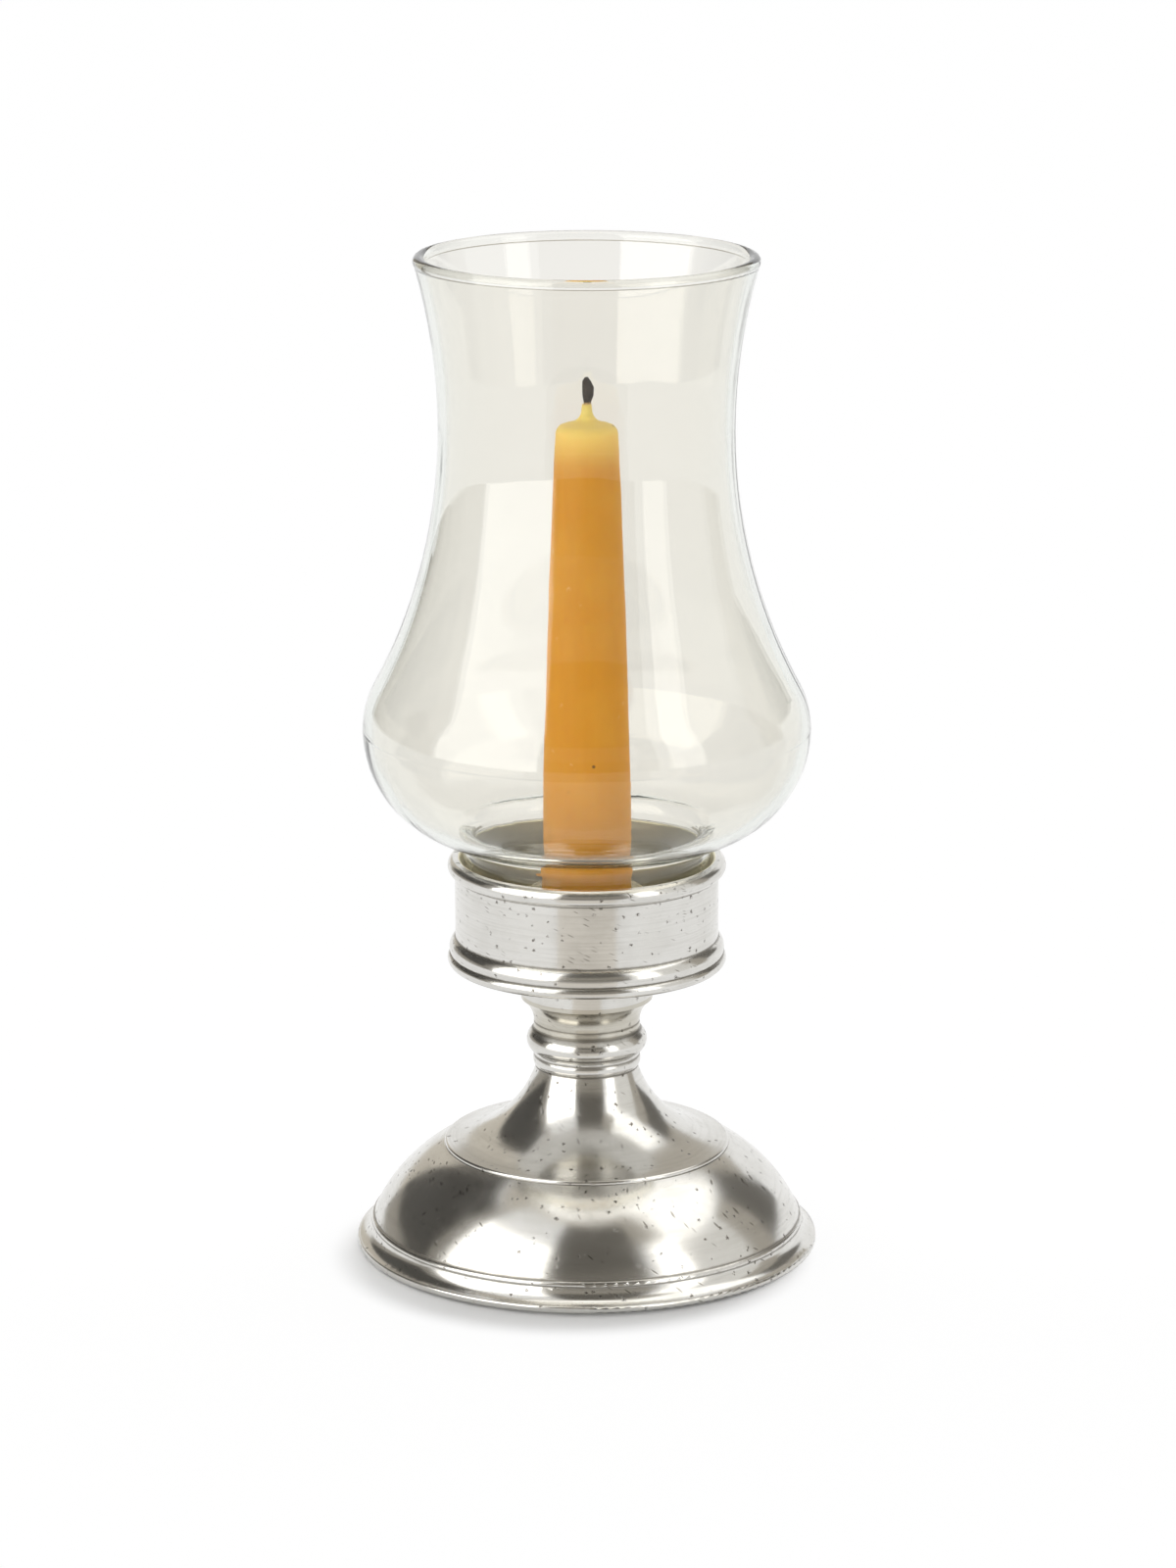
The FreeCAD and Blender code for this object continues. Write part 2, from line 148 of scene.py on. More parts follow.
def distance(graph, x, y):
    """How far the point (x, y) lies from the upright axis through (0, 0)."""
    return graph.math("SQRT", graph.plus(graph.times(x, x), graph.times(y, y)))


def lathe_marks_group():
    """Fine rings left by turning: they run round the axis and break up along it."""
    graph, given, result = new_group("Lathe marks", ["Lines", "Cloud"], [("Pitch", 0.5)])
    point = object_point(graph)
    x, y, z = graph.split(point)
    outward, around = 0.83, 0.05
    along = graph.plus(z, graph.times(distance(graph, x, y), outward))
    turned = graph.vector(graph.times(x, around), graph.times(y, around),
                          graph.math("DIVIDE", along, given.outputs["Pitch"]))
    graph.put(result.inputs["Lines"], graph.noise(turned, scale=1.0, detail=3.0, roughness=0.65))
    graph.put(result.inputs["Cloud"], graph.noise(point, scale=0.11, detail=3.0, roughness=0.55))
    return graph.tree


def wear_group():
    """Pits and short scratches that casting and handling leave in soft metal."""
    graph, given, result = new_group("Wear", ["Pits", "Dashes"], [("Amount", 1.0)])
    point = object_point(graph)
    x, y, z = graph.split(point)

    spots = graph.cells(point, scale=0.55)
    size = graph.remap(graph.channel(spots["Color"], 0), 0.45, 1.0, 0.0, 0.29)
    edge = graph.remap(graph.noise(point, scale=3.0), 0.35, 0.65, 0.4, 1.6)
    ragged = graph.times(size, edge)
    pits = graph.remap(spots["Distance"], ragged, graph.times(ragged, 0.55))
    patch = graph.remap(graph.noise(point, scale=0.07), 0.34, 0.48)
    pits = graph.math("MULTIPLY", graph.times(pits, patch), given.outputs["Amount"], clamp=True)
    graph.put(result.inputs["Pits"], pits)

    outward, around, slant, fine = 0.6, 0.35, 0.45, 2.2
    slope = graph.plus(z, graph.times(distance(graph, x, y), outward))
    flat = graph.vector(graph.times(x, around), graph.times(y, around),
                        graph.times(graph.math("MULTIPLY_ADD", x, slant, slope), fine))
    strokes = graph.cells(flat, scale=0.8)
    width = graph.remap(graph.channel(strokes["Color"], 1), 0.55, 0.9, 0.0, 0.32)
    dashes = graph.remap(strokes["Distance"], width, graph.times(width, 0.4))
    worn = graph.remap(graph.noise(point, scale=0.045), 0.42, 0.56)
    graph.put(result.inputs["Dashes"], graph.math("MULTIPLY", dashes, worn, clamp=True))
    return graph.tree


LATHE_MARKS = lathe_marks_group()
WEAR = wear_group()


def new_material(name, **constants):
    """A material with one Principled shader; the keyword values go straight on its sockets."""
    material = bpy.data.materials.new(name)
    material.use_nodes = True
    graph = Graph(material.node_tree)
    shader = material.node_tree.nodes["Principled BSDF"]
    for label, value in constants.items():
        shader.inputs[label.replace("_", " ")].default_value = value
    return material, graph, shader


def give_finish(graph, shader, colour, roughness, normal):
    """Fill the three sockets that change over the surface of every finish here."""
    graph.put(shader.inputs["Base Color"], colour)
    graph.put(shader.inputs["Roughness"], roughness)
    graph.put(shader.inputs["Normal"], normal)


SATIN_ROUGHNESS = 0.115
SCRATCH_DIRT = (0.16, 0.145, 0.12, 1)
PATINA = (0.13, 0.115, 0.09, 1)
PIT_DIRT = (0.07, 0.055, 0.042, 1)
RAW_PAINTED_LIGHT_DARK = (0.74, 0.70, 0.52, 1)
RAW_PAINTED_LIGHT_PALE = (0.86, 0.82, 0.66, 1)


def pewter(name, grooves, clean=(0.71, 0.70, 0.67, 1), dull=(0.50, 0.485, 0.445, 1), inside=None):
    """Satin pewter. Each groove is (height, half width): dark patina gathers there.

    Inside is (radius, height): the unpolished hollow within that radius and above that height.
    There the colour is made paler and yellower as painted light, for the dim inside.
    """
    material, graph, shader = new_material(name, Metallic=1.0, Anisotropic=0.45, Anisotropic_Rotation=0.25)
    point = object_point(graph)
    x, y, z = graph.split(point)
    marks = graph.node("ShaderNodeGroup", node_tree=LATHE_MARKS).outputs
    wear = graph.node("ShaderNodeGroup", node_tree=WEAR).outputs
    uneven = graph.noise(point, scale=0.35, detail=4.0, roughness=0.65)
    ragged = graph.remap(uneven, 0.3, 0.7, 0.7, 1.3)
    dirt = 0.0
    for height, half_width in grooves:
        away = graph.math("ABSOLUTE", graph.minus(z, height))
        dirt = graph.math("MAXIMUM", graph.remap(away, graph.times(ragged, half_width), 0.0), dirt)
    cloud = graph.remap(marks["Cloud"], 0.35, 0.7)

    colour = graph.mix(graph.times(cloud, 0.25), clean, dull)
    colour = graph.mix(graph.remap(marks["Lines"], 0.42, 0.72, 0.0, 0.30), colour, dull)
    colour = graph.mix(graph.times(wear["Dashes"], 0.7), colour, SCRATCH_DIRT)
    colour = graph.mix(graph.times(dirt, 0.75), colour, PATINA)
    colour = graph.mix(graph.times(wear["Pits"], 0.85), colour, PIT_DIRT)
    rough = graph.math("MULTIPLY_ADD", marks["Lines"], 0.10, SATIN_ROUGHNESS)
    if inside:
        hollow_radius, hollow_floor = inside
        hollow = graph.times(graph.math("LESS_THAN", distance(graph, x, y), hollow_radius),
                             graph.math("GREATER_THAN", z, hollow_floor))
        # Painted light: the hollow's colour is made paler and yellower to make up for the dim light inside,
        # while its added roughness is the real unpolished metal.
        colour = graph.mix(hollow, colour, graph.mix(uneven, RAW_PAINTED_LIGHT_DARK, RAW_PAINTED_LIGHT_PALE))
        rough = graph.math("MULTIPLY_ADD", hollow, 0.3, rough)
    rough = graph.plus(rough, graph.times(cloud, 0.05))
    rough = graph.plus(rough, graph.times(dirt, 0.2))
    relief = graph.minus(graph.times(marks["Lines"], 0.25), wear["Pits"])
    relief = graph.minus(relief, graph.times(wear["Dashes"], 0.5))
    give_finish(graph, shader, colour, rough, graph.bump(relief, 0.2, 0.1 * MM))
    tangent = graph.node("ShaderNodeTangent", direction_type="RADIAL", axis="Z").outputs[0]
    graph.put(shader.inputs["Tangent"], tangent)
    return material


def clear_glass():
    """Blown soda glass: nearly clear, warm grey, a little green in its depth, with faint ripples."""
    material, graph, shader = new_material("clear glass", Metallic=0.0, Transmission_Weight=1.0, IOR=1.5)
    point = object_point(graph)
    tint = graph.noise(point, scale=0.02)
    colour = graph.mix(tint, (0.941, 0.908, 0.864, 1), (0.953, 0.924, 0.885, 1))
    film = graph.remap(graph.noise(point, scale=0.05, detail=4.0), 0.45, 0.75, 0.0, 0.025)
    ripple = graph.noise(point, scale=0.045, detail=1.0)
    give_finish(graph, shader, colour, film, graph.bump(ripple, 0.12, 1.2 * MM))
    body = graph.node("ShaderNodeVolumeAbsorption", {"Color": (0.72, 0.87, 0.86, 1), "Density": 55.0})
    graph.put(graph.tree.nodes["Material Output"].inputs["Volume"], body.outputs[0])
    return material


def beeswax(painted_top_light_from, tip_to):
    """Honey-coloured wax with painted light that makes it paler towards the top, and faint streaks, scuffs
    and specks.
    """
    material, graph, shader = new_material("beeswax", Subsurface_Weight=0.22, Subsurface_Scale=0.004,
                                           Subsurface_Radius=(1.0, 0.5, 0.2), IOR=1.44,
                                           Specular_IOR_Level=0.25)
    point = object_point(graph)
    z = graph.split(point)[2]
    upright = graph.node("ShaderNodeVectorMath", {0: point, 1: (1.0, 1.0, 0.02)}, operation="MULTIPLY")
    streaks = graph.noise(upright.outputs[0], scale=0.8, detail=3.0)
    cloud = graph.noise(point, scale=0.09, detail=3.0)
    scuffs = graph.remap(graph.cells(point, scale=0.16)["Distance"], 0.14, 0.05)
    scuffs = graph.times(scuffs, graph.remap(graph.noise(point, scale=1.6), 0.5, 0.6))
    specks = graph.remap(graph.cells(point, scale=0.12)["Distance"], 0.06, 0.04)

    colour = graph.mix(streaks, (0.63, 0.262, 0.010, 1), (0.68, 0.305, 0.018, 1))
    colour = graph.mix(graph.remap(cloud, 0.4, 0.7, 0.0, 0.5), colour, (0.70, 0.335, 0.03, 1))
    # Painted light: the wax is painted paler towards the top, where the light falls on it.
    colour = graph.mix(graph.times(graph.remap(z, painted_top_light_from, tip_to), 0.95), colour, (0.98, 0.73, 0.18, 1))
    colour = graph.mix(graph.times(scuffs, 0.4), colour, (0.87, 0.63, 0.30, 1))
    colour = graph.mix(graph.times(specks, 0.8), colour, (0.10, 0.045, 0.012, 1))
    rough = graph.remap(streaks, 0.3, 0.7, 0.42, 0.56)
    relief = graph.plus(graph.times(streaks, 0.3), graph.times(cloud, 0.5))
    give_finish(graph, shader, colour, rough, graph.bump(relief, 0.25, 0.4 * MM))
    return material


def wick_cotton(char_from):
    """Waxed cotton that turns to black char above a height."""
    material, graph, shader = new_material("wick cotton", IOR=1.45, Specular_IOR_Level=0.3)
    point = object_point(graph)
    z = graph.split(point)[2]
    fibre = graph.noise(point, scale=2.6, detail=3.0)
    char = graph.remap(graph.math("MULTIPLY_ADD", fibre, 1.2, z), char_from, char_from + 0.9)
    waxed = graph.mix(fibre, (0.62, 0.36, 0.10, 1), (0.80, 0.55, 0.22, 1))
    burnt = graph.mix(fibre, (0.008, 0.005, 0.004, 1), (0.05, 0.034, 0.025, 1))
    rough = graph.remap(char, 0.0, 1.0, 0.45, 0.85)
    give_finish(graph, shader, graph.mix(char, waxed, burnt), rough, graph.bump(fibre, 0.5, 0.25 * MM))
    return material


def felt_wool():
    """Dark green baize: matted wool with loose fibres."""
    material, graph, shader = new_material("felt wool", Sheen_Weight=0.35, Sheen_Roughness=0.6)
    point = object_point(graph)
    mat = graph.noise(point, scale=1.4, detail=5.0, roughness=0.7)
    blotch = graph.noise(point, scale=0.07, detail=3.0)
    colour = graph.mix(mat, (0.012, 0.035, 0.022, 1), (0.035, 0.082, 0.052, 1))
    colour = graph.mix(graph.remap(blotch, 0.4, 0.7, 0.0, 0.4), colour, (0.03, 0.06, 0.045, 1))
    rough = graph.remap(mat, 0.3, 0.7, 0.85, 1.0)
    give_finish(graph, shader, colour, rough, graph.bump(mat, 0.6, 0.35 * MM))
    return material


def zinc_steel():
    """Bright zinc plating on the fixings, with its faint spangle."""
    material, graph, shader = new_material("zinc steel", Metallic=1.0)
    point = object_point(graph)
    spangle = graph.cells(point, scale=0.5)["Color"]
    grain = graph.noise(point, scale=2.2, detail=3.0)
    colour = graph.mix(grain, (0.52, 0.53, 0.54, 1), (0.66, 0.67, 0.67, 1))
    rough = graph.remap(grain, 0.3, 0.7, 0.28, 0.42)
    give_finish(graph, shader, graph.mix(0.12, colour, spangle), rough, graph.bump(grain, 0.15, 0.08 * MM))
    return material


# Turned shapes: a half section in millimetres, spun by one geometry node tree.


def outline(corners, step=0.7):
    """Points along a half section. A third value bows the edge out (or in) by that much, as an arc."""
    points = [Vector(corners[0][:2])]
    for start, corner in zip(corners, corners[1:]):
        start, end = Vector(start[:2]), Vector(corner[:2])
        if len(corner) == 2:
            points.append(end)
            continue
        rise = corner[2]
        chord = end - start
        radius = (chord.length ** 2 / 4 + rise ** 2) / (2 * abs(rise))
        half = math.asin(min(1.0, chord.length / 2 / radius))
        left = Vector((-chord.y, chord.x)).normalized()
        away = math.copysign(1.0, rise)
        centre = (start + end) / 2 + left * away * radius * math.cos(half)
        spoke = start - centre
        count = max(2, math.ceil(2 * half * radius / step))
        for index in range(1, count + 1):
            turn = away * 2 * half * index / count
            cosine, sine = math.cos(turn), math.sin(turn)
            points.append(centre + Vector((spoke.x * cosine - spoke.y * sine,
                                           spoke.x * sine + spoke.y * cosine)))
    return points


def lathe_tree():
    """Spins a profile curve round Z and lets its surface wander a little."""
    tree = bpy.data.node_groups.new("Lathe", "GeometryNodeTree")
    for label, kind, default in (("Profile", "Geometry", None), ("Segments", "Int", 96),
                                 ("Wander", "Float", 0.0), ("Wander Scale", "Float", 40.0),
                                 ("Seed", "Float", 0.0), ("Material", "Material", None)):
        made = tree.interface.new_socket(label, in_out="INPUT", socket_type=f"NodeSocket{kind}")
        if default is not None:
            made.default_value = default
    tree.interface.new_socket("Mesh", in_out="OUTPUT", socket_type="NodeSocketGeometry")
    graph = Graph(tree)
    given = graph.node("NodeGroupInput").outputs
    result = graph.node("NodeGroupOutput")

    # A grid with one column of the profile's points for each step round the axis.
    count = graph.node("GeometryNodeAttributeDomainSize", {0: given["Profile"]},
                       component="CURVE").outputs["Point Count"]
    columns = graph.plus(given["Segments"], 1.0)
    grid = graph.node("GeometryNodeMeshGrid", {"Vertices X": columns, "Vertices Y": count}).outputs[0]
    index = graph.node("GeometryNodeInputIndex").outputs[0]
    column = graph.math("FLOOR", graph.math("DIVIDE", graph.plus(index, 0.5), count))
    row = graph.minus(index, graph.times(column, count))

    # Each point takes its radius and height from the profile, and its turn from the column.
    place = graph.node("GeometryNodeInputPosition").outputs[0]
    sample = graph.node("GeometryNodeSampleIndex", data_type="FLOAT_VECTOR", domain="POINT")
    graph.put(sample.inputs["Geometry"], given["Profile"])
    graph.put(sample.inputs["Value"], place)
    graph.put(sample.inputs["Index"], row)
    section = graph.split(sample.outputs[0])
    radius, height = section[0], section[2]
    turn = graph.math("DIVIDE", graph.times(column, math.tau), given["Segments"])
    cosine, sine = graph.math("COSINE", turn), graph.math("SINE", turn)
    ring = graph.vector(graph.times(radius, cosine), graph.times(radius, sine), height)

    # The wander moves a point out or in, and leaves those on the axis where they are.
    drift = graph.node("ShaderNodeTexNoise", {"Vector": ring, "Scale": given["Wander Scale"],
                                              "W": given["Seed"], "Detail": 2.0}, noise_dimensions="4D")
    swing = graph.times(graph.minus(drift.outputs[0], 0.5), given["Wander"])
    swing = graph.times(graph.math("GREATER_THAN", radius, SAME_POINT), swing)
    push = graph.vector(graph.times(swing, cosine), graph.times(swing, sine))
    moved = graph.node("ShaderNodeVectorMath", {0: ring, 1: push}, operation="ADD").outputs[0]
    spun = graph.node("GeometryNodeSetPosition", {"Geometry": grid, "Position": moved}).outputs[0]
    welded = graph.node("GeometryNodeMergeByDistance", {0: spun, "Distance": SAME_POINT}).outputs[0]
    smooth = graph.node("GeometryNodeSetShadeSmooth", {0: welded}).outputs[0]
    real = graph.node("GeometryNodeRealizeInstances", {0: smooth}).outputs[0]
    dressed = graph.node("GeometryNodeSetMaterial", {"Geometry": real, "Material": given["Material"]})
    graph.put(result.inputs[0], dressed.outputs[0])
    return tree


LATHE = lathe_tree()


def run_tree(source, tree, **values):
    """Evaluate a geometry tree on an object and return the mesh it makes."""
    modifier = source.modifiers.new(tree.name, "NODES")
    modifier.node_group = tree
    for item in tree.interface.items_tree:
        key = item.name.replace(" ", "_").lower()
        if item.in_out == "INPUT" and key in values:
            modifier[item.identifier] = values[key]
    graph = bpy.context.evaluated_depsgraph_get()
    made = bpy.data.meshes.new_from_object(source.evaluated_get(graph))
    source.modifiers.remove(modifier)
    return made


def finish_mesh(mesh, crease=math.radians(38)):
    """Weld what coincides, turn all faces outward and keep sharp corners sharp."""
    work = bmesh.new()
    work.from_mesh(mesh)
    bmesh.ops.remove_doubles(work, verts=work.verts, dist=SAME_POINT)
    bmesh.ops.recalc_face_normals(work, faces=work.faces)
    work.to_mesh(mesh)
    work.free()
    mesh.set_sharp_from_angle(angle=crease)


def turned_mesh(name, points, material, segments, wander=0.0, wander_scale=40.0, seed=0.0):
    """The mesh that a half section makes when it is spun round the axis of the stand."""
    curve = bpy.data.curves.new(name + "_profile", "CURVE")
    curve.dimensions = "3D"
    spline = curve.splines.new("POLY")
    spline.points.add(len(points) - 1)
    for knot, point in zip(spline.points, points):
        knot.co = (point.x * MM, 0.0, point.y * MM, 1.0)
    source = new_object(name + "_profile", curve)
    mesh = run_tree(source, LATHE, segments=segments, wander=wander * MM, wander_scale=wander_scale,
                    seed=seed, material=material)
    bpy.data.objects.remove(source)
    finish_mesh(mesh)
    return mesh


def add_piece(name, mesh, body, replaced):
    """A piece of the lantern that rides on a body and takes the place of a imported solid."""
    mesh.name = name
    piece = new_object(name, mesh)
    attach(piece, body)
    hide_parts(replaced)
    return piece


def dress(part, material):
    """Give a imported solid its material."""
    nodes[part].data.materials.clear()
    nodes[part].data.materials.append(material)


# Pewter stand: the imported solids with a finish. Heights are those of the turned grooves.
FINISH = {
    "foot": {"grooves": [(5.9, 0.4), (7.3, 0.45)]},
    "stem": {"grooves": [(25.6, 0.2), (45.7, 0.3)]},
    "knop": {"grooves": [(45.9, 0.3), (48.7, 0.5), (50.4, 0.5), (55.6, 0.7)]},
    # Painted shade: the neck's clean and dull colours are a darker, warmer copy of the same pewter.
    "neck": {
        "grooves": [(55.9, 0.6), (57.4, 0.5)],
        "clean": (0.58, 0.555, 0.49, 1),
        "dull": (0.40, 0.375, 0.315, 1),
    },
    "gallery": {
        "grooves": [(72.7, 0.3), (75.3, 0.5), (79.6, 0.5), (95.3, 0.3)],
        # Painted light: the hollow inside the gallery gets a paler, yellower colour for the dim light there.
        "inside": (31.9, 74.5),
    },
    # Painted shade: the socket's clean and dull colours are a much darker copy of the same pewter, for the
    # well of the gallery.
    "candle_socket": {
        "grooves": [(67.3, 0.8), (88.8, 0.7)],
        "clean": (0.38, 0.37, 0.32, 1),
        "dull": (0.28, 0.27, 0.23, 1),
    },
}
for part, finish in FINISH.items():
    dress(part, pewter(f"pewter {part}", **finish))

steel = zinc_steel()
for part in ("tie_rod", "tie_washer", "lock_washer", "tie_nut"):
    dress(part, steel)

dress("glass_chimney", clear_glass())
nodes["glass_chimney"].visible_shadow = False

# Candle: a dipped taper on the axis of the stand. Its section starts from its own foot.
CANDLE_BASE = 69.8
WICK_HOLE = 1.10
WAX_TOP = 143.3
candle_section = outline([
    (WICK_HOLE, 0.0), (10.3, 0.0), (11.1, 0.8), (11.1, 30.0), (7.7, 135.4, 0.42),
    (5.0, 138.5, 0.95), (2.9, 139.3), (1.4, 141.6, -0.35), (1.25, WAX_TOP), (WICK_HOLE, WAX_TOP),
    (WICK_HOLE, 0.0),
], step=0.9)
candle_section = [point + Vector((0, CANDLE_BASE)) for point in candle_section]
candle_mesh = turned_mesh("taper", candle_section, beeswax(painted_top_light_from=196.0, tip_to=211.0), segments=96,
                          wander=0.25, wander_scale=90.0, seed=3.0)
add_piece("taper", candle_mesh, "candle", "candle")

# Wick: cotton up the middle of the taper. Its burnt tip leans to the right and curls back.
WICK_RADIUS = 1.0
WICK_TOP = 219.8
CHAR_FROM = 213.6
LEAN_FROM, LEAN = 213.1, 0.12
CURL_FROM, CURL = 216.5, 0.3
wick_section = outline([
    (0.0, CANDLE_BASE), (WICK_RADIUS, CANDLE_BASE), (WICK_RADIUS, 213.8), (1.35, 215.2), (1.5, 217.3),
    (1.1, 219.0), (0.5, WICK_TOP), (0.0, WICK_TOP),
])
wick_mesh = turned_mesh("wick_cord", wick_section, wick_cotton(CHAR_FROM), segments=24, wander=0.5,
                        wander_scale=900.0, seed=1.0)
for vertex in wick_mesh.vertices:
    lean = max(0.0, vertex.co.z - LEAN_FROM * MM) * LEAN
    curl = max(0.0, vertex.co.z - CURL_FROM * MM) * CURL
    vertex.co.x += lean - curl
add_piece("wick_cord", wick_mesh, "candle", "wick")

# Felt pad under the foot, with its lower edge worn round.
FELT_RADIUS, FELT_TOP = 55.1, 1.6
FELT_WORN, FELT_CUT = 0.4, 0.2
felt_section = outline([
    (0.0, 0.0), (FELT_RADIUS - FELT_WORN, 0.0), (FELT_RADIUS, FELT_WORN, 0.1),
    (FELT_RADIUS, FELT_TOP - FELT_CUT), (FELT_RADIUS - FELT_CUT, FELT_TOP), (0.0, FELT_TOP),
])
felt_mesh = turned_mesh("felt_disc", felt_section, felt_wool(), segments=160)
felt = add_piece("felt_disc", felt_mesh, "stand", "felt_pad")


# Studio: pale floor, soft lamps, and cards that only the metal and the glass mirror. Lengths are metres.
LAMP_AIM = Vector((0, 0, 0.12))
LAMP_ELEVATION, LAMP_DISTANCE = 7, 1.6
LAMP_WIDTH, LAMP_HEIGHT = 0.8, 0.4
CARD_MIDDLE = Vector((0, 0, 0.06))
CARD_DISTANCE = 2.0
SOFTBOX = (1.0, 0.985, 0.95, 1)
DARK = (1.0, 0.93, 0.81, 1)
TABLE = (1.0, 0.95, 0.88, 1)
STRIP_HEIGHT = 0.001


def direction(azimuth, elevation, reach):
    """A place seen from the object: azimuth 0 is towards the camera, positive to its right."""
    a, e = math.radians(azimuth), math.radians(elevation)
    return Vector((math.sin(a) * math.cos(e), -math.cos(a) * math.cos(e), math.sin(e))) * reach


def lamp(name, azimuth, power):
    """A low soft lamp that lights the wax and the paper but doesn't show in metal or glass."""
    light = bpy.data.lights.new(name, "AREA")
    light.shape = "RECTANGLE"
    light.size, light.size_y = LAMP_WIDTH, LAMP_HEIGHT
    light.energy = power
    thing = new_object(name, light)
    thing.location = direction(azimuth, LAMP_ELEVATION, LAMP_DISTANCE) + LAMP_AIM
    thing.rotation_euler = (LAMP_AIM - thing.location).to_track_quat("-Z", "Y").to_euler()
    thing.visible_glossy = False
    thing.visible_transmission = False


def show_in_mirrors(name, corners, faces, strength, colour):
    """A glowing panel that neither the camera nor a matt surface can see."""
    mesh = bpy.data.meshes.new(name)
    mesh.from_pydata(corners, [], faces)
    material, graph, shader = new_material(name)
    graph.tree.nodes.remove(shader)
    glow = graph.node("ShaderNodeEmission", {"Color": colour, "Strength": strength})
    graph.put(graph.tree.nodes["Material Output"].inputs["Surface"], glow.outputs[0])
    mesh.materials.append(material)
    thing = new_object(name, mesh)
    thing.visible_camera = False
    thing.visible_diffuse = False
    thing.visible_shadow = False
    return thing


def card(name, azimuths, elevations, strength, colour=SOFTBOX):
    """A curved panel that shows only in reflections: dark under strength 1, a soft box above it."""
    columns, rows = 12, 8
    corners = []
    for row in range(rows + 1):
        elevation = elevations[0] + (elevations[1] - elevations[0]) * row / rows
        for column in range(columns + 1):
            azimuth = azimuths[0] + (azimuths[1] - azimuths[0]) * column / columns
            corners.append(direction(azimuth, elevation, CARD_DISTANCE) + CARD_MIDDLE)
    faces = []
    for row in range(rows):
        for column in range(columns):
            first = row * (columns + 1) + column
            faces.append((first, first + 1, first + columns + 2, first + columns + 1))
    show_in_mirrors(name, corners, faces, strength, colour)


def table_strip(name, near, far, spread, strength):
    """What lies in front of the object, as the metal and the glass mirror it: duller than the paper."""
    corners = [(-near * spread, -near, STRIP_HEIGHT), (-far * spread, -far, STRIP_HEIGHT),
               (far * spread, -far, STRIP_HEIGHT), (near * spread, -near, STRIP_HEIGHT)]
    strip = show_in_mirrors(name, corners, [(0, 1, 2, 3)], strength, TABLE)
    strip.visible_transmission = False


def seen_ray(graph):
    """1 for rays that show the surroundings, straight or through metal and glass; 0 for light."""
    path = graph.node("ShaderNodeLightPath").outputs
    seen = graph.math("MAXIMUM", path["Is Camera Ray"], path["Is Glossy Ray"])
    return graph.math("MAXIMUM", seen, path["Is Transmission Ray"])


def floor():
    """White paper. It glows for the eye, less near the object so that the shadow stays."""
    reach = 6.0
    mesh = bpy.data.meshes.new("floor")
    mesh.from_pydata([(-reach, -reach, 0), (reach, -reach, 0), (reach, reach, 0), (-reach, reach, 0)],
                     [], [(0, 1, 2, 3)])
    material, graph, shader = new_material("floor")
    graph.tree.nodes.remove(shader)
    x, y, _ = graph.split(object_point(graph))

    # The shadow lies in a round patch whose middle is a little to the left and to the front.
    patch_left, patch_front, patch_from, patch_to = 4.0, 12.0, 51.0, 62.0
    away = distance(graph, graph.plus(x, patch_left), graph.plus(y, patch_front))
    white = graph.remap(away, patch_from, patch_to, 0.97, 0.1)
    paper = graph.node("ShaderNodeBsdfDiffuse", {"Color": white})

    # The glow makes up what the lamps leave short of white. They reach less far from the object.
    lamp_reach, lamp_share, even_share, full = 650.0, 0.05, 0.97, 1.02
    radius = distance(graph, x, y)
    fall = graph.math("MULTIPLY_ADD", radius, graph.math("DIVIDE", radius, lamp_reach ** 2), 1.0)
    light = graph.plus(graph.math("DIVIDE", lamp_share, fall), even_share)
    level = graph.math("SUBTRACT", full, graph.times(white, light), clamp=True)
    glow = graph.node("ShaderNodeEmission", {"Color": WHITE, "Strength": graph.times(seen_ray(graph), level)})
    both = graph.node("ShaderNodeAddShader", {0: paper.outputs[0], 1: glow.outputs[0]})
    graph.put(graph.tree.nodes["Material Output"].inputs["Surface"], both.outputs[0])
    mesh.materials.append(material)
    new_object("floor", mesh)


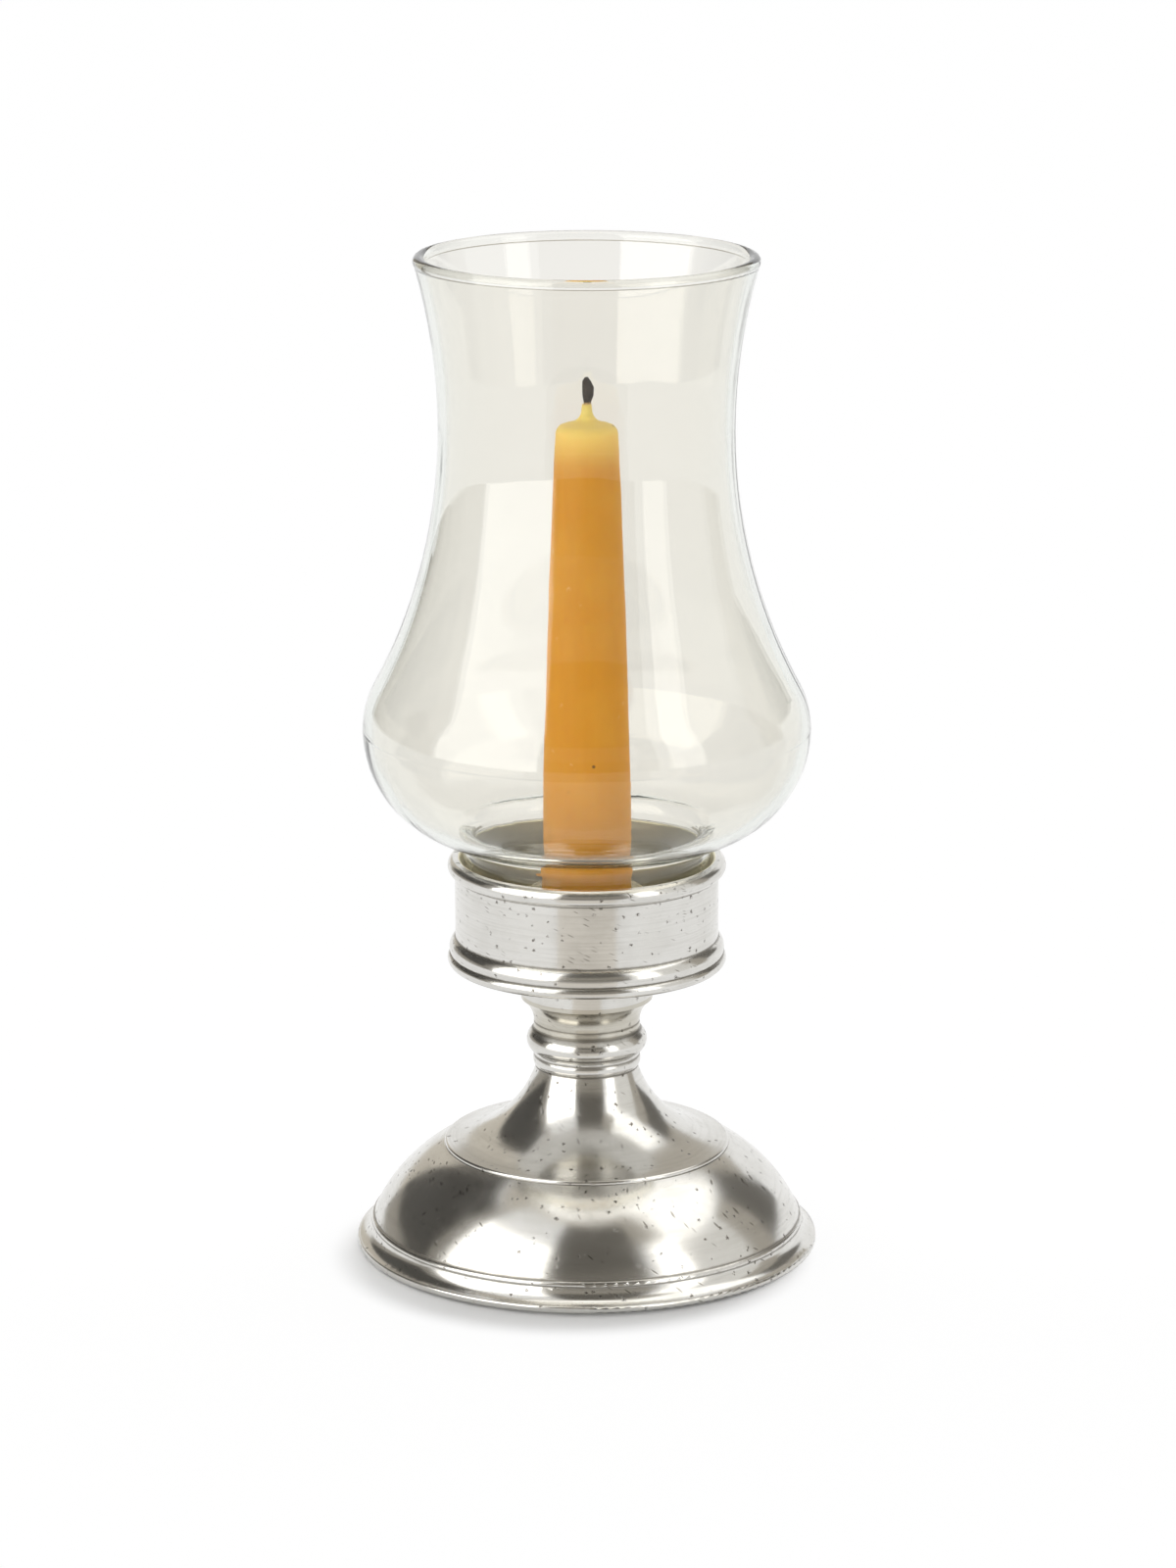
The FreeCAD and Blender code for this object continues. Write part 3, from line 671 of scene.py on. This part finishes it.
def world():
    """White all round for the eye; as a light, dim except for the bright backdrop low behind."""
    backdrop, dim = 2.8, 0.19
    studio = bpy.data.worlds.new("studio")
    bpy.context.scene.world = studio
    studio.use_nodes = True
    graph = Graph(studio.node_tree)
    _, y, z = graph.split(object_point(graph))
    sweep = graph.times(graph.remap(y, 0.0, 300.0), graph.remap(z, 800.0, 550.0))
    light = graph.math("MULTIPLY_ADD", sweep, backdrop, dim)
    strength = graph.math("MULTIPLY_ADD", seen_ray(graph), graph.minus(1.0, light), light)
    background = studio.node_tree.nodes["Background"]
    graph.put(background.inputs["Color"], WHITE)
    graph.put(background.inputs["Strength"], strength)


def camera():
    """Where the photograph was taken from: a little above the lantern, looking down at it."""
    pitch = 14.35
    lens = bpy.data.cameras.new("camera")
    lens.sensor_width = 36.0
    lens.lens = 118.1
    thing = new_object("camera", lens)
    thing.location = (0.0003, -1.230, 0.4326)
    thing.rotation_euler = (math.radians(90 - pitch), 0, 0)
    bpy.context.scene.camera = thing


floor()
world()
camera()
lamp("key", -45, 7.0)
lamp("fill", 55, 5.2)
card("ceiling", (0, 360), (74, 90), 1.6)
card("left_back", (-165, -146), (4, 50), 0.65, DARK)
card("left_wall", (-146, -95), (9, 58), 0.06, DARK)
card("left_skirting", (-146, -95), (-3, 9), 0.35, DARK)
card("left_edge", (-95, -84), (-3, 60), 0.28, DARK)
card("left_softbox", (-82, -25), (-3, 51), 2.8)
card("camera_low", (-24, 36), (-3, 12), 0.25, DARK)
card("camera_middle", (-24, 36), (12, 30), 0.36, DARK)
card("camera_high", (-24, 36), (30, 70), 0.14, DARK)
card("right_softbox", (43, 62), (-3, 48), 2.4)
card("right_gap", (36, 60), (49, 70), 0.45, DARK)
card("right_high_softbox", (60, 135), (42, 74), 1.7)
card("right_screen", (62, 100), (-3, 40), 0.85)
card("right_shade", (100, 118), (-3, 40), 0.43, DARK)
card("right_wall", (118, 142), (7, 39), 0.13, DARK)
card("back", (142, 198), (22, 52), 0.5, DARK)
card("top_front", (-84, 58), (70, 74), 0.65, DARK)
card("top_left", (-180, -84), (60, 74), 0.6, DARK)
table_strip("paper_in_front", 0.10, 0.50, 0.45, 0.85)
table_strip("table_end", 0.50, 2.1, 0.6, 0.32)

bpy.context.scene.view_settings.view_transform = "Standard"
